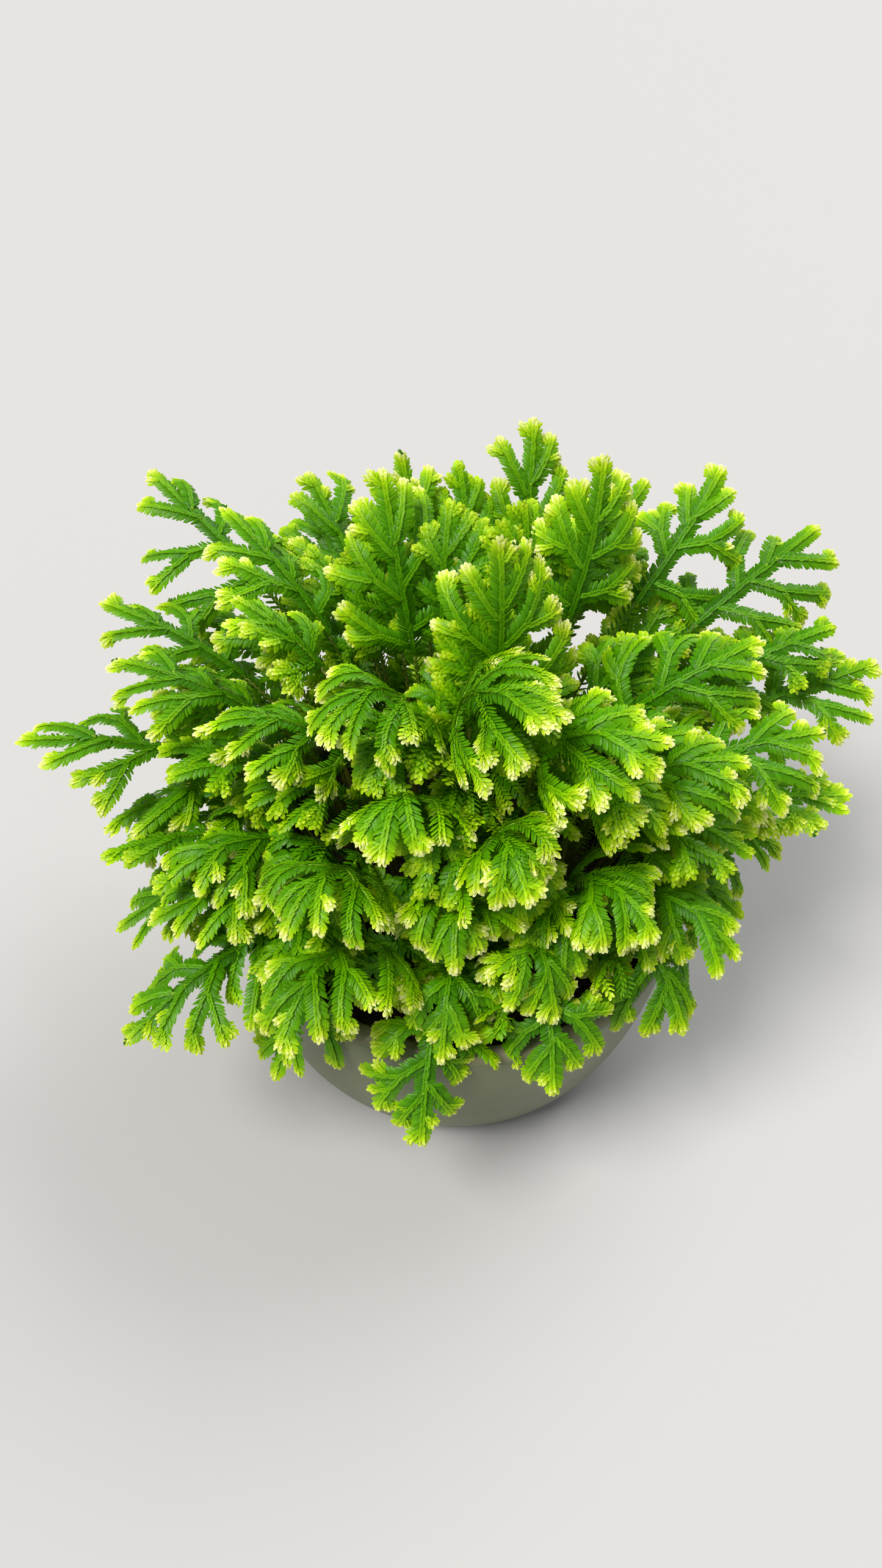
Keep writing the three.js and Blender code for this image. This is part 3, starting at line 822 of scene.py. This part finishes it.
def top_leaves(path, straps, way, vigour, random, step):
    """One of the two rows of slim leaves that lie along the top of every strap."""
    strap, along = stations(straps, 0.25 * (1 - way), step)
    centre, heading, out, top = strap_frames(path, strap, along)
    distance = strap["length"] - along + strap["onward"]
    count = len(along)
    opening = near_tip(distance, 9, 29, 2) + random.normal(0, 5, count)
    forward, _ = turned_by(heading, way * out, np.radians(opening))
    forward, _ = turned_by(forward, top, np.radians(16 + random.normal(0, 5, count)))
    length = TOP_LEAF * strap["size"] * near_tip(distance, 1, 0.65, 1) * random.uniform(0.9, 1.15, count)
    half = TOP_HALF * strap["size"] * near_tip(distance, 1, 1.45, 2.4) * widened(step)
    base = centre + top * TOP_SEAT + out * way * TOP_APART
    points, faces = laid(top_leaf, base, forward, top, length, half, TOP_SAG * length)
    age = np.minimum(youth(distance, vigour) + TOP_YOUNGER, 1)
    tone = strap["tone"] + random.normal(0.1, 0.12, count)
    return points, faces, age, tone, top_leaf[2]


# %% Stems
STEM_SIDES = 5
STEM_RADIUS = 0.95
RIB_RADIUS = 0.45
TUBE_STEP = 3
SHORTEST_STEMMED = 3.4


def tube(centre, side, top, radius):
    """A closed tube: each ring is centre + radius * (cos * side + sin * top), with a point at each end."""
    angle = np.arange(STEM_SIDES) * 2 * np.pi / STEM_SIDES
    rings = centre[:, None] + radius[:, None, None] * (
        side[:, None] * np.cos(angle)[:, None] + top[:, None] * np.sin(angle)[:, None])
    points = np.concatenate([centre[:1], centre[-1:], rings.reshape(-1, 3)])
    return points, turned_faces(len(centre), STEM_SIDES)[:, ::-1]


def strap_stems(path, straps, stem_length, step):
    """Tubes for the bare stem and for the stem inside every strap that is long enough to show one,
    and how many of the points belong to the bare stem."""
    bare_stem = STRAP | {"length": stem_length}
    coarse = step / LEAF_STEP
    shortest = SHORTEST_STEMMED * coarse**2
    tubes = []
    for strap in [bare_stem] + [one for one in straps if one["length"] > shortest and one["spacing"] == 1]:
        rings = max(3, int(strap["length"] / TUBE_STEP / coarse) + 1)
        centre, _, out, top = strap_frames(path, strap, np.linspace(0, strap["length"], rings))
        first = STEM_RADIUS if strap is bare_stem else RIB_RADIUS
        tubes.append(tube(centre, out, top, np.linspace(first, RIB_RADIUS, rings)))
    return *joined(tubes), len(tubes[0][0])


# %% [markdown]
# A spikemoss leaf is one cell layer thick in most places, with a waxy top. So it takes a soft
# highlight, and light from behind comes through it yellow-green: part of its shader is translucent.
# Its colour follows its age, from deep green through bright green to the pale cream of the tips,
# which have hardly any green in them. Each leaf is also painted darker at its base and along its
# keel than at its outer end, as painted shade in the grooves where the leaves overlap, and that
# draws the comb on every strap.

# %% Leaf and stem finishes
AGE_COLOURS = [
    (0.1, "#2a6504"), (0.2, "#438902"), (0.32, "#62a502"), (0.46, "#8ac202"), (0.6, "#aeda06"),
    (0.74, "#d8ee3c"), (0.88, "#fafbb6")]
CELL_MM = 0.5

leaf_finish, tree = new_material("waxy_spikemoss_leaf")
# Each leaf is painted darker towards its base and along its keel: painted shade in the grooves where the
# leaves overlap.
painted_groove_shade = stretched(tree, attribute(tree, "edge"), 0.68, 1.02)
shown_age = node(tree, "ShaderNodeMath", {0: attribute(tree, "youth"), 1: painted_groove_shade}, operation="MULTIPLY")
by_age = colour_ramp(tree, shown_age.outputs["Value"], AGE_COLOURS)
# Tone lightens or darkens each leaf: at random, and darker in sprays of low vigour as painted shade.
brightness = stretched(tree, attribute(tree, "tone"), 0.72, 1.28)
toned = node(tree, "ShaderNodeHueSaturation", {"Color": by_age, "Value": brightness}).outputs["Color"]
wax = node(tree, "ShaderNodeBsdfPrincipled", {
    "Base Color": toned, "Roughness": 0.36, "IOR": 1.43, "Specular IOR Level": 0.27,
    "Normal": relief(tree, noise(tree, CELL_MM, 1.0), 0.1, 0.4)})
lit_through = blended(tree, 0.5, toned, linear("#b4e000"))
glow = node(tree, "ShaderNodeBsdfTranslucent", {"Color": lit_through})
leafy = node(tree, "ShaderNodeMixShader", {0: 0.22, 1: wax.outputs["BSDF"], 2: glow.outputs["BSDF"]})
node(tree, "ShaderNodeOutputMaterial", {"Surface": leafy.outputs["Shader"]})
print("leaf finish nodes:", len(tree.nodes))

stem_finish, tree = new_material("wiry_spikemoss_stem")
bark = colour_ramp(tree, attribute(tree, "youth"), [
    (0.0, "#5d4a1c"), (0.15, "#6d7a1e"), (0.5, "#74ab14"), (1.0, "#a9cf30")])
wire = node(tree, "ShaderNodeBsdfPrincipled", {"Base Color": bark, "Roughness": 0.5, "IOR": 1.45})
node(tree, "ShaderNodeOutputMaterial", {"Surface": wire.outputs["BSDF"]})


# %% [markdown]
# Each spray is one piece: its stems, its two combs of side leaves and its two rows of top leaves.
# It rides on the plant and stands for its plain blade in the frame. Sprays that grew low in the pot
# are older and less frosted than those at the top, so each whorl has its own vigour. A spray of low
# vigour is also painted darker all over, as painted shade for the sprays that lie low and under
# the others; on top of that each spray is a little lighter or darker at random.

# %% Grow the sprays
VIGOUR = {"crown": 1.0, "upper": 1.0, "middle": 1.0, "lower": 0.9, "skirt": 0.7}
SPRAY_SEED = 100
BARE_STEM_AGE = 0.12
GREEN_STEM_AGE = 0.6


def leafy_spray(row, vigour, seed, step=LEAF_STEP):
    """The arrays of one spray: points, triangles, finish, and each point's youth, tone and edge."""
    random = np.random.default_rng(seed)
    # The spray's tone: a little lighter or darker at random, and painted darker the lower its vigour, as
    # painted shade.
    shade = random.normal(0.2 * (vigour - 1), 0.07)
    path = spine(row)
    stem_length = path[0][-1] - row[6]
    straps = straps_of(row, stem_length)
    stem_points, stem_faces, bare_points = strap_stems(path, straps, stem_length, step)
    leaves = [rows(path, straps, way, vigour, random, step)
              for rows in (side_leaves, top_leaves) for way in (1, -1)]
    points, faces = joined([(stem_points, stem_faces)] + [part[:2] for part in leaves])
    finish = np.where(np.arange(len(faces)) < len(stem_faces), 1, 0)
    stem_count = len(stem_points)
    ages = [np.where(np.arange(stem_count) < bare_points, BARE_STEM_AGE, GREEN_STEM_AGE)]
    tones = [np.full(stem_count, 0.5)]
    outness = [np.zeros(stem_count)]
    for _, _, leaf_age, leaf_tone, leaf_edge in leaves:
        ages.append(np.repeat(leaf_age, len(leaf_edge)))
        tones.append(np.repeat(leaf_tone + shade, len(leaf_edge)))
        outness.append(np.tile(leaf_edge, len(leaf_age)))
    return points, faces, finish, np.concatenate(ages), np.concatenate(tones), np.concatenate(outness)


def spray_piece(name, sprays):
    """One object from the arrays of one or more sprays."""
    points, faces = joined([spray[:2] for spray in sprays])
    finish, age, tone, edge = (np.concatenate([spray[k] for spray in sprays]) for k in (2, 3, 4, 5))
    return mesh_piece(
        name, points, faces, [leaf_finish, stem_finish], finish, youth=age, tone=tone, edge=edge)


foliage_triangles = 0
grown = dict.fromkeys(WHORLS, 0)
for index, row in enumerate(SPRAYS):
    whorl = row[0]
    grown[whorl] += 1
    name = f"{whorl}_{grown[whorl]:02d}"
    spray = spray_piece("spray_" + name, [leafy_spray(row, VIGOUR[whorl], SPRAY_SEED + index)])
    wearing(spray, "foliage", "frond_" + name)
    foliage_triangles += len(spray.data.polygons)
print("spray triangles:", foliage_triangles)


# %% [markdown]
# A mound this dense has a second layer that only shows in the gaps. Under each spray grows a
# smaller, older one, set a little inward and below it, and turned a few degrees aside; the front of
# the rim goes without, so the peat shows there. A few fresher ones stand between the broad sprays,
# a row leans over the rim at the back, and a spiral fills the heart of the mound, each spray a
# golden angle on from the last, as in nature. All of them have fewer, wider leaves.

# %% The understorey
UNDER_STEP = 1.14
UNDER_SHARE = 0.8
UNDER_HALF = 15
# The understorey's low vigour also paints it darker: painted shade under the outer sprays.
UNDER_VIGOUR = 0.45
UNDER_SEED = 500
LOWEST_UNDER = 62
FRONT = -80
OPEN_FRONT = 50
BETWEEN_STEP = 0.95
BETWEEN_SHARE = 0.62
BETWEEN_HALF = 12
BETWEEN_VIGOUR = 0.75
BETWEEN_SEED = 600
HEART_SPRAYS = 9
HEART_VIGOUR = 0.7
HEART_SEED = 700
GOLDEN_ANGLE = 137.5
RIM_SPRAYS = 10
RIM_VIGOUR = 0.6
RIM_SEED = 800
SWAY_SEED = 41
UNDERSTOREY_PIECES = 4


def understorey_rows():
    """The row, vigour, seed and leaf step of every small spray under and between the outer ones."""
    sway = np.random.default_rng(SWAY_SEED)
    rows = []
    for index, (whorl, bearing, reach, height, turn, fall, blade, _, roll) in enumerate(SPRAYS):
        aside = sway.choice([-1, 1]) * sway.uniform(10, 18)
        below = (whorl, round(bearing + aside), round(reach * sway.uniform(0.74, 0.9)),
                 round(max(height - sway.uniform(7, 15), LOWEST_UNDER)), turn, fall + 8,
                 round(UNDER_SHARE * blade), UNDER_HALF, roll)
        if not (whorl == "skirt" and abs(bearing - FRONT) < OPEN_FRONT):
            rows.append((below, UNDER_VIGOUR, UNDER_SEED + index, UNDER_STEP))
        if whorl in ("middle", "lower") and index % 2 == 0:
            between = (whorl, round(bearing - 1.3 * aside), round(reach * sway.uniform(0.72, 0.84)),
                       round(height - sway.uniform(3, 8)), turn, fall + 4,
                       round(BETWEEN_SHARE * blade), BETWEEN_HALF, roll)
            rows.append((between, BETWEEN_VIGOUR, BETWEEN_SEED + index, BETWEEN_STEP))
    for order in range(HEART_SPRAYS):
        reach = 18 + 2.6 * order
        heart = ("crown" if order < 6 else "upper", round(-110 + GOLDEN_ANGLE * order) % 360 - 180,
                 round(reach), round(120 - 0.3 * reach), 0, 12, 38, 18, 0)
        rows.append((heart, HEART_VIGOUR, HEART_SEED + order, UNDER_STEP))
    for order in range(RIM_SPRAYS):
        rim = ("skirt", 14 + 18 * order, round(68 + sway.uniform(-4, 4)), round(66 + sway.uniform(-3, 4)),
               round(sway.uniform(-12, 12)), 38, 30, 15, round(sway.uniform(-10, 10)))
        rows.append((rim, RIM_VIGOUR, RIM_SEED + order, UNDER_STEP))
    return rows


small_sprays = [leafy_spray(*one) for one in understorey_rows()]
for number in range(UNDERSTOREY_PIECES):
    piece = spray_piece(f"understorey_{number + 1}", small_sprays[number::UNDERSTOREY_PIECES])
    wearing(piece, "foliage")
    foliage_triangles += len(piece.data.polygons)
print("small sprays:", len(small_sprays), "foliage triangles:", foliage_triangles)
